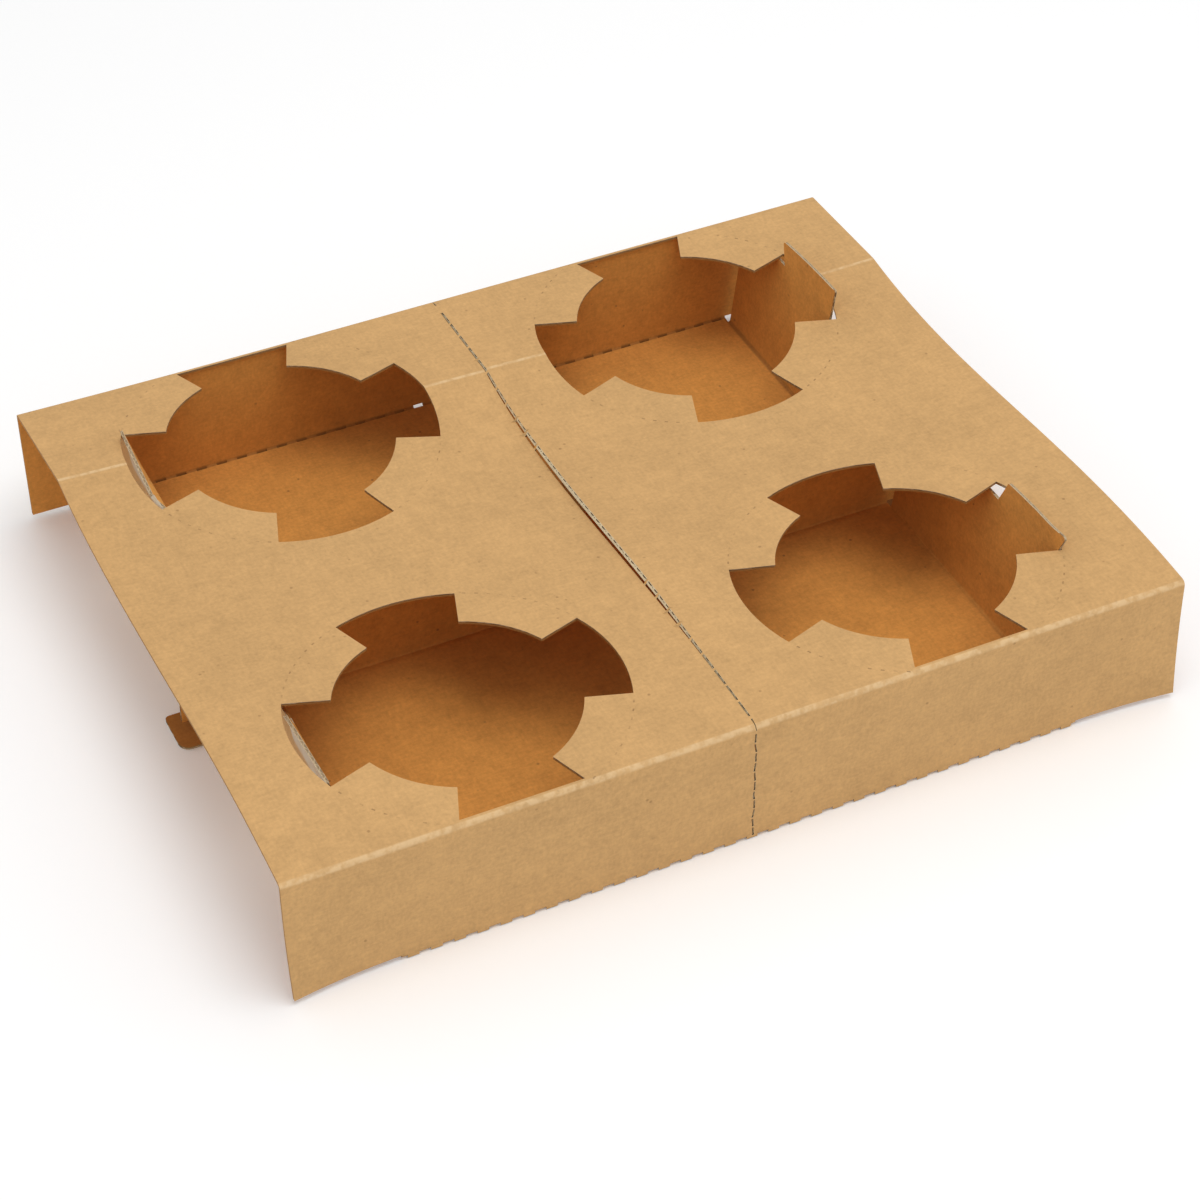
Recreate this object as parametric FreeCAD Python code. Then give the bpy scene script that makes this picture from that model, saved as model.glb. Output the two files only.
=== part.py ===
# Carrier for four take-away cups, folded from one die-cut sheet of fine corrugated board.
# The origin is the middle of the footprint on the table. X runs along the front, Y to the rear,
# Z up. All sizes are millimetres.
import FreeCAD, Part
import math
import os

os.makedirs("parts", exist_ok=True)

Vec = FreeCAD.Vector

# The board, which is sharp inside its folds and round outside them
board = 1.5

# The box that the sheet makes
length = 258.0
depth = 208.8
front_height = 40.0
rear_height = 37.7
crease_from_rear = 39.5

# Floor, between the hinges of the end flaps
floor_length = 198.0
lap_forward = 9.0
lap_rise = 1.45
tab_reach = 24.3
tab_behind = 5.3
tab_corner = 3.0

# Cup holes: an inner circle, and four notches out to an outer circle
cup_inner_radius = 32.4
cup_outer_radius = 45.0
cup_spacing_x = 128.4
cup_spacing_y = 125.2
notch_inner_width = 26.1
notch_outer_width = 34.1

# Partition between the front and the rear cups
partition_length = 240.0
flange_width = 14.0

# End flaps, which lean outward and reach through the end notches with an ear
flap_lean = 7.3
flap_end_gap = 2.0
flap_partition_gap = 2.2
flap_corner = 4.0
shoulder_height = 37.0
shoulder_clearance = 0.6
ear_width = 28.0
ear_forward = 1.3
ear_corner = 3.0
ear_top_left = 41.5
ear_top_right = 45.0

# Free ends of the walls, cut a little short, which spring outward
wall_end_short = 1.2
wall_flare = 2.6

# Shape that the top panel has taken: heights at its left end, middle and right end
sag = (2.0, 6.0, 4.2)
bulge = (2.0, 0.0, 1.6)
ridge = (2.6, -1.6, -1.4)

# Cut creases of the lower folds
cut_pitch = 6.4
cut_length = 3.2
cut_width = 0.7

# Perforation that splits the carrier in two
perforation_pitch = 6.7
perforation_cut = 5.2
perforation_width = 0.5

# Worked out from the sizes above
half_length = length / 2.0
half_depth = depth / 2.0
half_floor = floor_length / 2.0
half_partition = partition_length / 2.0
crease_y = half_depth - crease_from_rear
cup_x = cup_spacing_x / 2.0
cup_y = cup_spacing_y / 2.0
panel_front_y = -half_depth + board
panel_rear_y = half_depth - board
partition_front_y = -board / 2.0
tall = 4.0 * front_height


def block(x0, x1, y0, y1, z0, z1):
    """A box between two corners, given side by side for each axis."""
    return Part.makeBox(x1 - x0, y1 - y0, z1 - z0, Vec(x0, y0, z0))


def across(left_mid_right, u):
    """A value that is stated at the left end, middle and right end, at u from -1 to 1."""
    left, middle, right = left_mid_right
    return middle + (right - left) / 2.0 * u + ((right + left) / 2.0 - middle) * u * u


def panel_height(u, v):
    """Height of the top panel at u across, and v from the front fold, 0, to the crease, 1."""
    # The sag is deepest three quarters of the way back, and the bulge highest one quarter back.
    peak = 0.75 ** 3 * 0.25
    falls = across(sag, u) * v ** 3 * (1.0 - v) / peak
    rises = across(bulge, u) * v * (1.0 - v) ** 3 / peak
    return front_height - falls + rises + across(ridge, u) * v ** 10


def spline_face(poles, degree_u, degree_v):
    """A smooth face over a grid of poles, which passes through the four corners."""
    surface = Part.BSplineSurface()
    knots = []
    for count, degree in ((len(poles), degree_u), (len(poles[0]), degree_v)):
        inner = count - degree - 1
        mults = [degree + 1] + [1] * inner + [degree + 1]
        values = [i / (inner + 1.0) for i in range(inner + 2)]
        knots.append((mults, values))
    (mults_u, values_u), (mults_v, values_v) = knots
    surface.buildFromPolesMultsKnots(poles, mults_u, mults_v, values_u, values_v,
                                     False, False, degree_u, degree_v)
    return surface.toShape()


def top_faces():
    """Upper faces of the top panel: the sagging part, and the strip behind the crease."""
    across_steps = 6
    back_steps = 8
    degree = 3
    main = []
    strip = []
    for i in range(across_steps + 1):
        u = -1.0 + 2.0 * i / across_steps
        x = u * half_length
        row = []
        for j in range(back_steps + 1):
            v = j / back_steps
            y = panel_front_y + v * (crease_y - panel_front_y)
            row.append(Vec(x, y, panel_height(u, v)))
        main.append(row)
        strip.append([row[-1], Vec(x, panel_rear_y, rear_height)])
    return spline_face(main, degree, degree), spline_face(strip, degree, 1)


def below_top(faces, start, reach):
    """The space below the top panel's upper face, from start down to start + reach."""
    solids = []
    for face in faces:
        lowered = face.copy()
        lowered.translate(Vec(0, 0, -start))
        solids.append(lowered.extrude(Vec(0, 0, -reach)))
    return solids[0].fuse(solids[1])


def fold(y, z, first_angle, x0, x1, turn=90.0):
    """A fold along X, as a wedge of a rod whose inner corner is the line at y, z."""
    def at(angle):
        a = math.radians(angle)
        return Vec(x0, y + board * math.cos(a), z + board * math.sin(a))

    corner = Vec(x0, y, z)
    last = first_angle + turn
    edges = [
        Part.Arc(at(first_angle), at(first_angle + turn / 2.0), at(last)).toShape(),
        Part.makeLine(at(last), corner),
        Part.makeLine(corner, at(first_angle)),
    ]
    return Part.Face(Part.Wire(edges)).extrude(Vec(x1 - x0, 0, 0))


def wall_end(side, facing, top_z):
    """The free end of a wall, which springs outward towards its lower corner."""
    low_z = wall_end_short
    poles = []
    steps = 3
    for i in range(steps + 1):
        u = i / steps
        x = side * (half_floor + u * (half_length - half_floor))
        row = []
        for j in range(steps + 1):
            v = j / steps
            z = top_z + v * (low_z - top_z)
            y = facing * (half_depth + wall_flare * u ** 2 * v ** 2)
            row.append(Vec(x, y, z))
        poles.append(row)
    return spline_face(poles, steps, steps).extrude(Vec(0, -facing * board, 0))


def wall(facing, height):
    """The front wall, facing -1, or the rear wall, facing 1, with its upper and lower folds."""
    top_z = height - board
    outer_y = facing * half_depth
    inner_y = facing * (half_depth - board)
    middle = block(-half_floor, half_floor, min(outer_y, inner_y), max(outer_y, inner_y), board, top_z)
    upper_angle = 90.0 if facing < 0 else 0.0
    lower_angle = 180.0 if facing < 0 else 270.0
    upper = fold(inner_y, top_z, upper_angle, -half_length, half_length)
    lower = fold(inner_y, board, lower_angle, -half_floor, half_floor)
    return [middle, upper, lower, wall_end(-1, facing, top_z), wall_end(1, facing, top_z)]


def rounded_plate(points, radii, thickness):
    """A flat plate from corner points in the XY plane, each corner with its own radius."""
    edges = []
    count = len(points)
    ends = []
    for i in range(count):
        before, corner, after = points[i - 1], points[i], points[(i + 1) % count]
        to_before = (before - corner).normalize()
        to_after = (after - corner).normalize()
        half = to_before.getAngle(to_after) / 2.0
        radius = radii[i]
        if radius == 0.0:
            ends.append((corner, corner))
            continue
        run = radius / math.tan(half)
        start = corner + to_before * run
        finish = corner + to_after * run
        centre = corner + (to_before + to_after).normalize() * (radius / math.sin(half))
        middle = centre + (corner - centre).normalize() * radius
        edges.append((i, Part.Arc(start, middle, finish).toShape()))
        ends.append((start, finish))
    arcs = dict(edges)
    ordered = []
    for i in range(count):
        if i in arcs:
            ordered.append(arcs[i])
        ordered.append(Part.makeLine(ends[i][1], ends[(i + 1) % count][0]))
    return Part.Face(Part.Wire(ordered)).extrude(Vec(0, 0, thickness))


def rear_floor():
    """The floor behind the partition, with the lap and tabs that reach under it."""
    plate = block(-half_floor, half_floor, 0, panel_rear_y, 0, board)
    reach = half_floor + tab_reach
    corners = [Vec(-reach, -lap_forward, 0), Vec(reach, -lap_forward, 0),
               Vec(reach, tab_behind, 0), Vec(-reach, tab_behind, 0)]
    band = rounded_plate(corners, [tab_corner, tab_corner, board, board], board)
    return [plate, band]


def raised(piece):
    """Tilts a piece with the front floor, which rises from the front fold onto the lap."""
    slope = math.degrees(math.atan2(lap_rise, partition_front_y - panel_front_y))
    piece.rotate(Vec(0, panel_front_y, 0), Vec(1, 0, 0), slope)
    return piece


def front_floor_and_partition(under_top):
    """The front floor, the fold under the partition, and the partition with its glue flange."""
    front_y = partition_front_y
    rear_y = partition_front_y + board
    turn_z = lap_rise + board
    plate = raised(block(-half_floor, half_floor, panel_front_y, front_y + board / 10.0, 0, board))
    bend = fold(front_y, turn_z, 270.0, -half_floor, half_floor)
    upright = block(-half_floor, half_floor, front_y, rear_y, turn_z, tall)
    ends = [block(-half_partition, -half_floor, front_y, rear_y, board, tall),
            block(half_floor, half_partition, front_y, rear_y, board, tall)]
    flange = block(-half_partition, half_partition, front_y, flange_width, board, tall)
    standing = [piece.common(under_top["panel"]) for piece in [upright] + ends]
    return [plate, bend, flange.common(under_top["flange"])] + standing


def end_flap(side, cell, under_top):
    """One end flap: side is -1 left or 1 right, and cell is -1 front or 1 rear."""
    partition_edge = -partition_front_y if cell < 0 else tab_behind
    near = cell * (partition_edge + flap_partition_gap)
    far = cell * (half_depth - board - flap_end_gap)
    low, high = sorted((near, far))
    lean = math.radians(flap_lean)
    ear_middle = cell * cup_y - ear_forward
    ear_top = ear_top_left if side < 0 else ear_top_right

    def plate(y0, y1, top, corner):
        """A plate that leans out from the hinge, with its two upper corners rounded."""
        reach = (top - board) / math.cos(lean)
        points = [Vec(y0, 0, 0), Vec(y1, 0, 0), Vec(y1, reach, 0), Vec(y0, reach, 0)]
        flat = rounded_plate(points, [0.0, 0.0, corner, corner], board)
        flat.Placement = FreeCAD.Placement(FreeCAD.Matrix(
            0, math.sin(lean), math.cos(lean), half_floor,
            1, 0, 0, 0,
            0, math.cos(lean), -math.sin(lean), board,
            0, 0, 0, 1))
        return flat

    body = plate(low, high, shoulder_height, flap_corner)
    ear = plate(ear_middle - ear_width / 2.0, ear_middle + ear_width / 2.0, ear_top, ear_corner)
    bend = fold(0, 0, 270.0, 0, high - low, 90.0 - flap_lean)
    bend.rotate(Vec(0, 0, 0), Vec(0, 0, 1), -90.0)
    bend.translate(Vec(half_floor, high, board))
    placed = []
    for piece in (body, ear, bend):
        if cell < 0:
            piece = raised(piece)
        if side < 0:
            piece = piece.mirror(Vec(0, 0, 0), Vec(1, 0, 0))
        placed.append(piece)
    body, ear, bend = placed
    return body.common(under_top["shoulder"]).fuse([ear, bend])


def cup_hole(x, y):
    """Tool for one cup hole: the inner circle and four notches that widen outward."""
    start = math.asin(notch_inner_width / 2.0 / cup_inner_radius)
    finish = math.asin(notch_outer_width / 2.0 / cup_outer_radius)
    tool = Part.makeCylinder(cup_inner_radius, tall, Vec(x, y, 0))
    for quarter in range(4):
        middle = quarter * math.pi / 2.0

        def at(radius, angle):
            return Vec(x + radius * math.cos(middle + angle), y + radius * math.sin(middle + angle), 0)

        edges = [
            Part.makeLine(at(0, 0), at(cup_inner_radius, -start)),
            Part.makeLine(at(cup_inner_radius, -start), at(cup_outer_radius, -finish)),
            Part.Arc(at(cup_outer_radius, -finish), at(cup_outer_radius, 0),
                     at(cup_outer_radius, finish)).toShape(),
            Part.makeLine(at(cup_outer_radius, finish), at(cup_inner_radius, start)),
            Part.makeLine(at(cup_inner_radius, start), at(0, 0)),
        ]
        tool = tool.fuse(Part.Face(Part.Wire(edges)).extrude(Vec(0, 0, tall)))
    # The outermost notches stop at the folds of the front and rear walls.
    limit = block(-half_length, half_length, panel_front_y, panel_rear_y, front_height / 2.0, tall)
    return tool.common(limit)


def fold_cuts():
    """Cuts along the two lower folds, at 45 degrees through the corner."""
    count = int(floor_length / cut_pitch)
    start = -(count - 1) * cut_pitch / 2.0
    cuts = []
    for facing in (-1, 1):
        for i in range(count):
            x = start + i * cut_pitch
            cut = Part.makeBox(cut_length, 4.0 * board, cut_width,
                               Vec(-cut_length / 2.0, -2.0 * board, -cut_width / 2.0))
            cut.rotate(Vec(0, 0, 0), Vec(1, 0, 0), -facing * 45.0)
            cut.translate(Vec(x, facing * (half_depth - board / 2.0), board / 2.0))
            cuts.append(cut)
    return cuts


def perforation_cuts():
    """Cuts along the middle of the top and of both walls."""
    half_cut = perforation_cut / 2.0
    half_width = perforation_width / 2.0
    cuts = []
    along = int((depth - 4.0 * board) / perforation_pitch)
    for i in range(along):
        y = (i - (along - 1) / 2.0) * perforation_pitch
        if abs(y) < half_cut + board:
            continue
        cuts.append(block(-half_width, half_width, y - half_cut, y + half_cut, front_height / 2.0, tall))
    for facing, height in ((-1, front_height), (1, rear_height)):
        middle = facing * (half_depth - board / 2.0)
        upward = int((height - 2.0 * board) / perforation_pitch)
        for i in range(upward):
            z = height / 2.0 + (i - (upward - 1) / 2.0) * perforation_pitch
            cuts.append(block(-half_width, half_width, middle - board, middle + board,
                              z - half_cut, z + half_cut))
    return cuts


def carrier():
    """The whole sheet: the top panel with its holes, and all that is folded down from it."""
    faces = top_faces()
    under_top = {
        "panel": below_top(faces, board, tall),
        "flange": below_top(faces, board, board),
        "shoulder": below_top(faces, board + shoulder_clearance, tall),
    }
    sheet = below_top(faces, 0.0, board)
    holes = [cup_hole(sx * cup_x, sy * cup_y) for sx in (-1, 1) for sy in (-1, 1)]
    sheet = sheet.cut(holes)
    pieces = wall(-1, front_height) + wall(1, rear_height)
    pieces += rear_floor() + front_floor_and_partition(under_top)
    pieces += [end_flap(side, cell, under_top) for side in (-1, 1) for cell in (-1, 1)]
    whole = sheet.fuse(pieces)
    whole = whole.cut(fold_cuts() + perforation_cuts())
    return whole.removeSplitter()


shape = carrier()
solids = shape.Solids
print("solids", len(solids), "valid", shape.isValid(), "volume", round(shape.Volume, 1))
box = shape.BoundBox
print("box", [round(v, 2) for v in (box.XMin, box.XMax, box.YMin, box.YMax, box.ZMin, box.ZMax)])
if len(solids) == 1:
    shape = solids[0]
shape.exportStep("parts/carrier.step")
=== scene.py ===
import math

import bmesh
import bpy
from mathutils import Matrix, Vector


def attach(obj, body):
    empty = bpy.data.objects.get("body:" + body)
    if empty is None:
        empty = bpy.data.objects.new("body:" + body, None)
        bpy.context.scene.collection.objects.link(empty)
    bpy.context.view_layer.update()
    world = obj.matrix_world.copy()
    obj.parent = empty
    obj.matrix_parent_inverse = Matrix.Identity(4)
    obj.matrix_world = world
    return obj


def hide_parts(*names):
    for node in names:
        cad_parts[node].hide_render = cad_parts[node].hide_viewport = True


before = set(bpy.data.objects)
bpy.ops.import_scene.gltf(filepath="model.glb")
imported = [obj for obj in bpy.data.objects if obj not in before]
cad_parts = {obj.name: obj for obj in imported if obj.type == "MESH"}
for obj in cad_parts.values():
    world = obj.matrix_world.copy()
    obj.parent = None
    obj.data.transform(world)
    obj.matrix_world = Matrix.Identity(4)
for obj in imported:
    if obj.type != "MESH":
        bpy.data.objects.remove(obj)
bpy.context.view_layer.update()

# Sizes of the folded board, in metres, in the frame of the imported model
MM = 0.001
BOARD = 0.9 * MM
FOLD = 1.5 * MM
FLUTE = 3.35 * MM

# Top panel and walls
HALF_LENGTH = 129.0 * MM
HALF_DEPTH = 104.4 * MM
TOP = 40.0 * MM
REAR_DROP = 2.3 * MM
CREASE_Y = 64.9 * MM
PANEL_Y = HALF_DEPTH - FOLD

# Floors, the lap and tabs between them, and the lugs along the lower folds
HALF_FLOOR = 99.0 * MM
LAP_Y = -9.0 * MM
LAP_RISE = 1.0 * MM
TAB_X = 123.3 * MM
TAB_REAR_Y = 5.3 * MM
TAB_FRONT_CORNER = 3.0 * MM
TAB_REAR_CORNER = 1.2 * MM
LUG_PITCH = 6.4 * MM
LUG_REACH = FOLD - 0.1 * MM
BARE_FOLD = (-9.0 * MM, 2.0 * MM)

# Partition and its glue flange
HALF_PARTITION = 120.0 * MM
FLANGE_Y = 14.0 * MM
FLANGE_GAP = 0.15 * MM

# End flaps and their ears
LEAN = math.radians(7.3)
SHOULDER = 37.0 * MM
FLAP_WALL_GAP = 2.0 * MM
FLAP_FRONT_START = -2.95 * MM
FLAP_REAR_START = 7.5 * MM
FLAP_CORNER = 4.0 * MM
EAR_START = 38.2 * MM
EAR_HALF = 14.0 * MM
EAR_BACK = 1.3 * MM
EAR_CORNER = 0.8 * MM

# Cup holes and their notches, whose flanks open from the inner to the outer circle
CUP_X = 64.2 * MM
CUP_Y = 62.6 * MM
CUP_INNER = 32.4 * MM
CUP_OUTER = 45.0 * MM
NOTCH_INNER = 26.1 * MM
NOTCH_OUTER = 34.1 * MM
FLANK_START = 29.65 * MM
FLANK_LENGTH = 12.0 * MM
FLANK_RISE = 4.0 * MM

# The stretch of the middle perforation that is torn open
TEAR_FRONT = -40.0 * MM
TEAR_REAR = 30.0 * MM

# How finely the sheet is divided
LUG_COLUMNS = 31
END_COLUMNS = 10
TOP_ROWS = 68
WALL_ROWS = 8
TOP_FOLD_STEPS = 5
LOW_FOLD_STEPS = 4
FLAP_FOLD_STEPS = 3
FLAP_ROWS = 4
PARTITION_ROWS = 4
PARTITION_ENDS = 3
FLANGE_ROWS = 2


# Helpers for modelling by hand

def deselect():
    """Lets go of every object."""
    if bpy.context.mode != "OBJECT":
        bpy.ops.object.mode_set(mode="OBJECT")
    bpy.ops.object.select_all(action="DESELECT")


def take(piece):
    """Makes a piece the only selected and active one."""
    deselect()
    piece.select_set(True)
    bpy.context.view_layer.objects.active = piece


def open_edit(piece, mode="EDGE"):
    """Goes into edit mode on a piece with nothing selected."""
    take(piece)
    bpy.ops.object.mode_set(mode="EDIT")
    bpy.ops.mesh.select_mode(type=mode)
    bpy.ops.mesh.select_all(action="DESELECT")


def close_edit():
    """Goes back to object mode."""
    bpy.ops.object.mode_set(mode="OBJECT")


def pick(piece, kind, test):
    """Selects the vertices, edges or faces whose place passes the test, and nothing else."""
    bpy.ops.mesh.select_mode(type=kind)
    mesh = bmesh.from_edit_mesh(piece.data)
    for group in (mesh.faces, mesh.edges, mesh.verts):
        for part in group:
            part.select = False
    chosen = {"VERT": mesh.verts, "EDGE": mesh.edges, "FACE": mesh.faces}[kind]
    for part in chosen:
        if test(part):
            part.select_set(True)
    mesh.select_flush_mode()
    bmesh.update_edit_mesh(piece.data)


def middle(part):
    """Middle of an edge or a face, or the place of a vertex."""
    if isinstance(part, bmesh.types.BMVert):
        return part.co
    if isinstance(part, bmesh.types.BMEdge):
        return (part.verts[0].co + part.verts[1].co) / 2.0
    return part.calc_center_median()


def near(a, b, slack=0.02 * MM):
    """True for two numbers that differ by less than the slack."""
    return abs(a - b) < slack


def along_x(edge):
    """True for an edge that runs along X."""
    a, b = edge.verts
    return near(a.co.y, b.co.y) and near(a.co.z, b.co.z)


def pull(offset):
    """Extrudes what is selected and moves it by an offset."""
    bpy.ops.mesh.extrude_region_move(TRANSFORM_OT_translate={"value": offset})


def turn(steps, angle, centre, axis):
    """Spins the selected edges round an axis, which makes a rounded fold. The tool turns clockwise."""
    bpy.ops.mesh.spin(steps=steps, angle=-angle, center=centre, axis=axis)


def apply_modifiers(piece):
    """Applies a piece's modifiers in their order."""
    take(piece)
    for modifier in list(piece.modifiers):
        bpy.ops.object.modifier_apply(modifier=modifier.name)


def push(piece, axis, amount):
    """Moves a piece's surface along an axis by an amount that depends on the place."""
    push_by(piece, axis, [amount(vertex.co) for vertex in piece.data.vertices])


def push_by(piece, axis, moves):
    """Moves a piece's points along an axis, each by its own amount."""
    for sign in (1.0, -1.0):
        most = max([sign * move for move in moves] + [0.0])
        if most < 1e-7:
            continue
        group = piece.vertex_groups.new(name="push")
        for index, move in enumerate(moves):
            if sign * move > 0.0:
                group.add([index], sign * move / most, "REPLACE")
        modifier = piece.modifiers.new("push", "DISPLACE")
        modifier.direction = axis
        modifier.strength = sign * most
        modifier.mid_level = 0.0
        modifier.vertex_group = "push"
        apply_modifiers(piece)
        piece.vertex_groups.remove(piece.vertex_groups["push"])


# The folded sheet

def column_places():
    """Places along X of the sheet's columns: free ends, then one for each lug and each gap."""
    half = [(0.5 + k) * LUG_PITCH / 2.0 for k in range(LUG_COLUMNS)]
    half.append(HALF_FLOOR)
    free_end = HALF_LENGTH - HALF_FLOOR
    half += [HALF_FLOOR + free_end * k / END_COLUMNS for k in range(1, END_COLUMNS + 1)]
    return [-x for x in reversed(half)] + half


def flat_top():
    """The top panel as a flat grid, which the walls are then folded from."""
    columns = column_places()
    rows = TOP_ROWS
    bpy.ops.mesh.primitive_grid_add(x_subdivisions=len(columns) - 1, y_subdivisions=rows,
                                    size=1.0, location=(0.0, 0.0, 0.0))
    piece = bpy.context.object
    piece.name = "carrier_sheet"
    open_edit(piece, "VERT")
    mesh = bmesh.from_edit_mesh(piece.data)
    crease_row = round((CREASE_Y + PANEL_Y) / (2.0 * PANEL_Y) * rows)
    for vertex in mesh.verts:
        column = round((vertex.co.x + 0.5) * (len(columns) - 1))
        row = round((vertex.co.y + 0.5) * rows)
        if row <= crease_row:
            y = -PANEL_Y + (CREASE_Y + PANEL_Y) * row / crease_row
        else:
            y = CREASE_Y + (PANEL_Y - CREASE_Y) * (row - crease_row) / (rows - crease_row)
        vertex.co = (columns[column], y, TOP)
    bmesh.update_edit_mesh(piece.data)
    return piece


def end_row(piece, y, z, reach):
    """Selects the edges along X at a place y, z, as far as reach from the middle."""
    pick(piece, "EDGE", lambda e: along_x(e) and near(middle(e).y, y)
         and near(middle(e).z, z) and abs(middle(e).x) < reach)


def fold_down(piece, facing):
    """Folds the wall down from the top, and the floor in from the wall's lower edge."""
    step = (TOP - 2.0 * FOLD) / WALL_ROWS
    end_row(piece, facing * PANEL_Y, TOP, HALF_LENGTH)
    turn(TOP_FOLD_STEPS, facing * -math.pi / 2.0, (0.0, facing * PANEL_Y, TOP - FOLD), (1.0, 0.0, 0.0))
    for _ in range(WALL_ROWS):
        pull((0.0, 0.0, -step))
    end_row(piece, facing * HALF_DEPTH, FOLD, HALF_FLOOR)
    turn(LOW_FOLD_STEPS, facing * -math.pi / 2.0, (0.0, facing * PANEL_Y, FOLD), (1.0, 0.0, 0.0))


def flap_rows(cell):
    """Places along Y where a floor is divided: the ends of the end flap, and of its ear."""
    ear = cell * CUP_Y - EAR_BACK
    far = cell * (PANEL_Y - FLAP_WALL_GAP)
    close = FLAP_REAR_START if cell > 0 else FLAP_FRONT_START
    ends = [far, ear + cell * EAR_HALF, ear - cell * EAR_HALF, close]
    places = [far]
    for start, finish, parts in zip(ends, ends[1:], (3, 4, 5)):
        places += [start + (finish - start) * k / parts for k in range(1, parts + 1)]
    return places


def rear_floor(piece):
    """The rear floor, the lap that reaches under the front floor, and the two tabs."""
    end_row(piece, PANEL_Y, 0.0, HALF_FLOOR)
    before = PANEL_Y
    for y in flap_rows(1) + [TAB_REAR_Y, LAP_Y]:
        pull((0.0, y - before, 0.0))
        before = y
    for side in (-1, 1):
        pick(piece, "EDGE", lambda e: near(middle(e).x, side * HALF_FLOOR)
             and near(middle(e).y, (LAP_Y + TAB_REAR_Y) / 2.0) and near(middle(e).z, 0.0))
        pull((side * (TAB_X - HALF_FLOOR), 0.0, 0.0))
        pick(piece, "VERT", lambda v: near(v.co.x, side * TAB_X) and near(v.co.y, LAP_Y))
        bpy.ops.mesh.bevel(affect="VERTICES", offset=TAB_FRONT_CORNER, segments=5)
        pick(piece, "VERT", lambda v: near(v.co.x, side * TAB_X) and near(v.co.y, TAB_REAR_Y))
        bpy.ops.mesh.bevel(affect="VERTICES", offset=TAB_REAR_CORNER, segments=3)


def front_floor(piece):
    """The front floor, which rises onto the lap, and the partition with its glue flange."""
    rows = flap_rows(-1)
    fold_y = BOARD / 2.0 - FOLD
    end_row(piece, -PANEL_Y, 0.0, HALF_FLOOR)
    before_y = -PANEL_Y
    before_z = 0.0
    for y in rows + [fold_y]:
        z = LAP_RISE * (y + PANEL_Y) / (fold_y + PANEL_Y)
        pull((0.0, y - before_y, z - before_z))
        before_y, before_z = y, z
    turn(LOW_FOLD_STEPS, math.pi / 2.0, (0.0, fold_y, LAP_RISE + FOLD), (1.0, 0.0, 0.0))
    top_z = TOP - BOARD - FLANGE_GAP - BOARD
    height = top_z - LAP_RISE - FOLD
    for _ in range(PARTITION_ROWS):
        pull((0.0, 0.0, height / PARTITION_ROWS))
    for _ in range(FLANGE_ROWS):
        pull((0.0, (FLANGE_Y - BOARD / 2.0) / FLANGE_ROWS, 0.0))
    for side in (-1, 1):
        pick(piece, "EDGE", lambda e: near(middle(e).x, side * HALF_FLOOR) and not along_x(e)
             and LAP_RISE + FOLD < middle(e).z < TOP - BOARD and 0.0 < middle(e).y < FLANGE_Y)
        for _ in range(PARTITION_ENDS):
            pull((side * (HALF_PARTITION - HALF_FLOOR) / PARTITION_ENDS, 0.0, 0.0))


def end_flap(piece, side, cell):
    """Folds one end flap up from a floor, with an ear that later reaches through a notch."""
    rows = flap_rows(cell)
    low, high = sorted((rows[0], rows[-1]))
    ear = cell * CUP_Y - EAR_BACK

    def hinge(e):
        m = middle(e)
        return near(m.x, side * HALF_FLOOR) and low < m.y < high and m.z < FOLD

    pick(piece, "EDGE", hinge)
    floor_z = LAP_RISE / 2.0 if cell < 0 else 0.0
    hinge_place = (side * HALF_FLOOR, 0.0, floor_z + FOLD)
    turn(FLAP_FOLD_STEPS, side * -(math.pi / 2.0 - LEAN), hinge_place, (0.0, 1.0, 0.0))
    start_z = floor_z + FOLD * (1.0 - math.sin(LEAN))
    reach = SHOULDER - start_z
    for _ in range(FLAP_ROWS):
        pull((side * math.tan(LEAN) * reach / FLAP_ROWS, 0.0, reach / FLAP_ROWS))
    pick(piece, "EDGE", lambda e: SHOULDER - 2.0 * MM < middle(e).z < TOP - 2.0 * MM
         and side * middle(e).x > HALF_FLOOR + 2.0 * MM and abs(middle(e).y - ear) < EAR_HALF
         and abs(e.verts[0].co.x - e.verts[1].co.x) < 0.5 * MM
         and abs(e.verts[0].co.z - e.verts[1].co.z) < MM
         and len(e.link_faces) == 1)
    rise = EAR_START - SHOULDER
    pull((side * math.tan(LEAN) * rise, 0.0, rise))
    corners = ((low, FLAP_CORNER), (high, FLAP_CORNER),
               (ear - EAR_HALF, EAR_CORNER), (ear + EAR_HALF, EAR_CORNER))
    for y, radius in corners:
        least_z = SHOULDER - MM if radius == FLAP_CORNER else EAR_START - 0.2 * MM
        pick(piece, "VERT", lambda v: near(v.co.y, y) and side * v.co.x > HALF_FLOOR + 3.0 * MM
             and least_z < v.co.z < TOP - MM)
        bpy.ops.mesh.bevel(affect="VERTICES", offset=radius, segments=5)


def square_lugs(piece):
    """
    Between its bridges each lower fold is slit, so the wall's edge stays square there. A short
    stretch of the rear fold has slits and no lugs, so the table shows through it.
    """
    def between(part):
        return near(abs(middle(part).x) / LUG_PITCH, round(abs(middle(part).x) / LUG_PITCH), 0.05)

    for facing in (-1, 1):
        pick(piece, "FACE", lambda f: between(f) and middle(f).z < FOLD
             and facing * middle(f).y > PANEL_Y and abs(middle(f).x) < HALF_FLOOR - MM)
        bpy.ops.mesh.delete(type="ONLY_FACE")
        mesh = bmesh.from_edit_mesh(piece.data)
        loose = [e for e in mesh.edges if not e.link_faces]
        bmesh.ops.delete(mesh, geom=loose, context="EDGES")
        bmesh.update_edit_mesh(piece.data)
        pick(piece, "EDGE", lambda e: along_x(e) and between(e) and near(middle(e).z, FOLD)
             and near(middle(e).y, facing * HALF_DEPTH) and abs(middle(e).x) < HALF_FLOOR - MM
             and not (facing > 0 and BARE_FOLD[0] < middle(e).x < BARE_FOLD[1]))
        pull((0.0, 0.0, -LUG_REACH))


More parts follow.
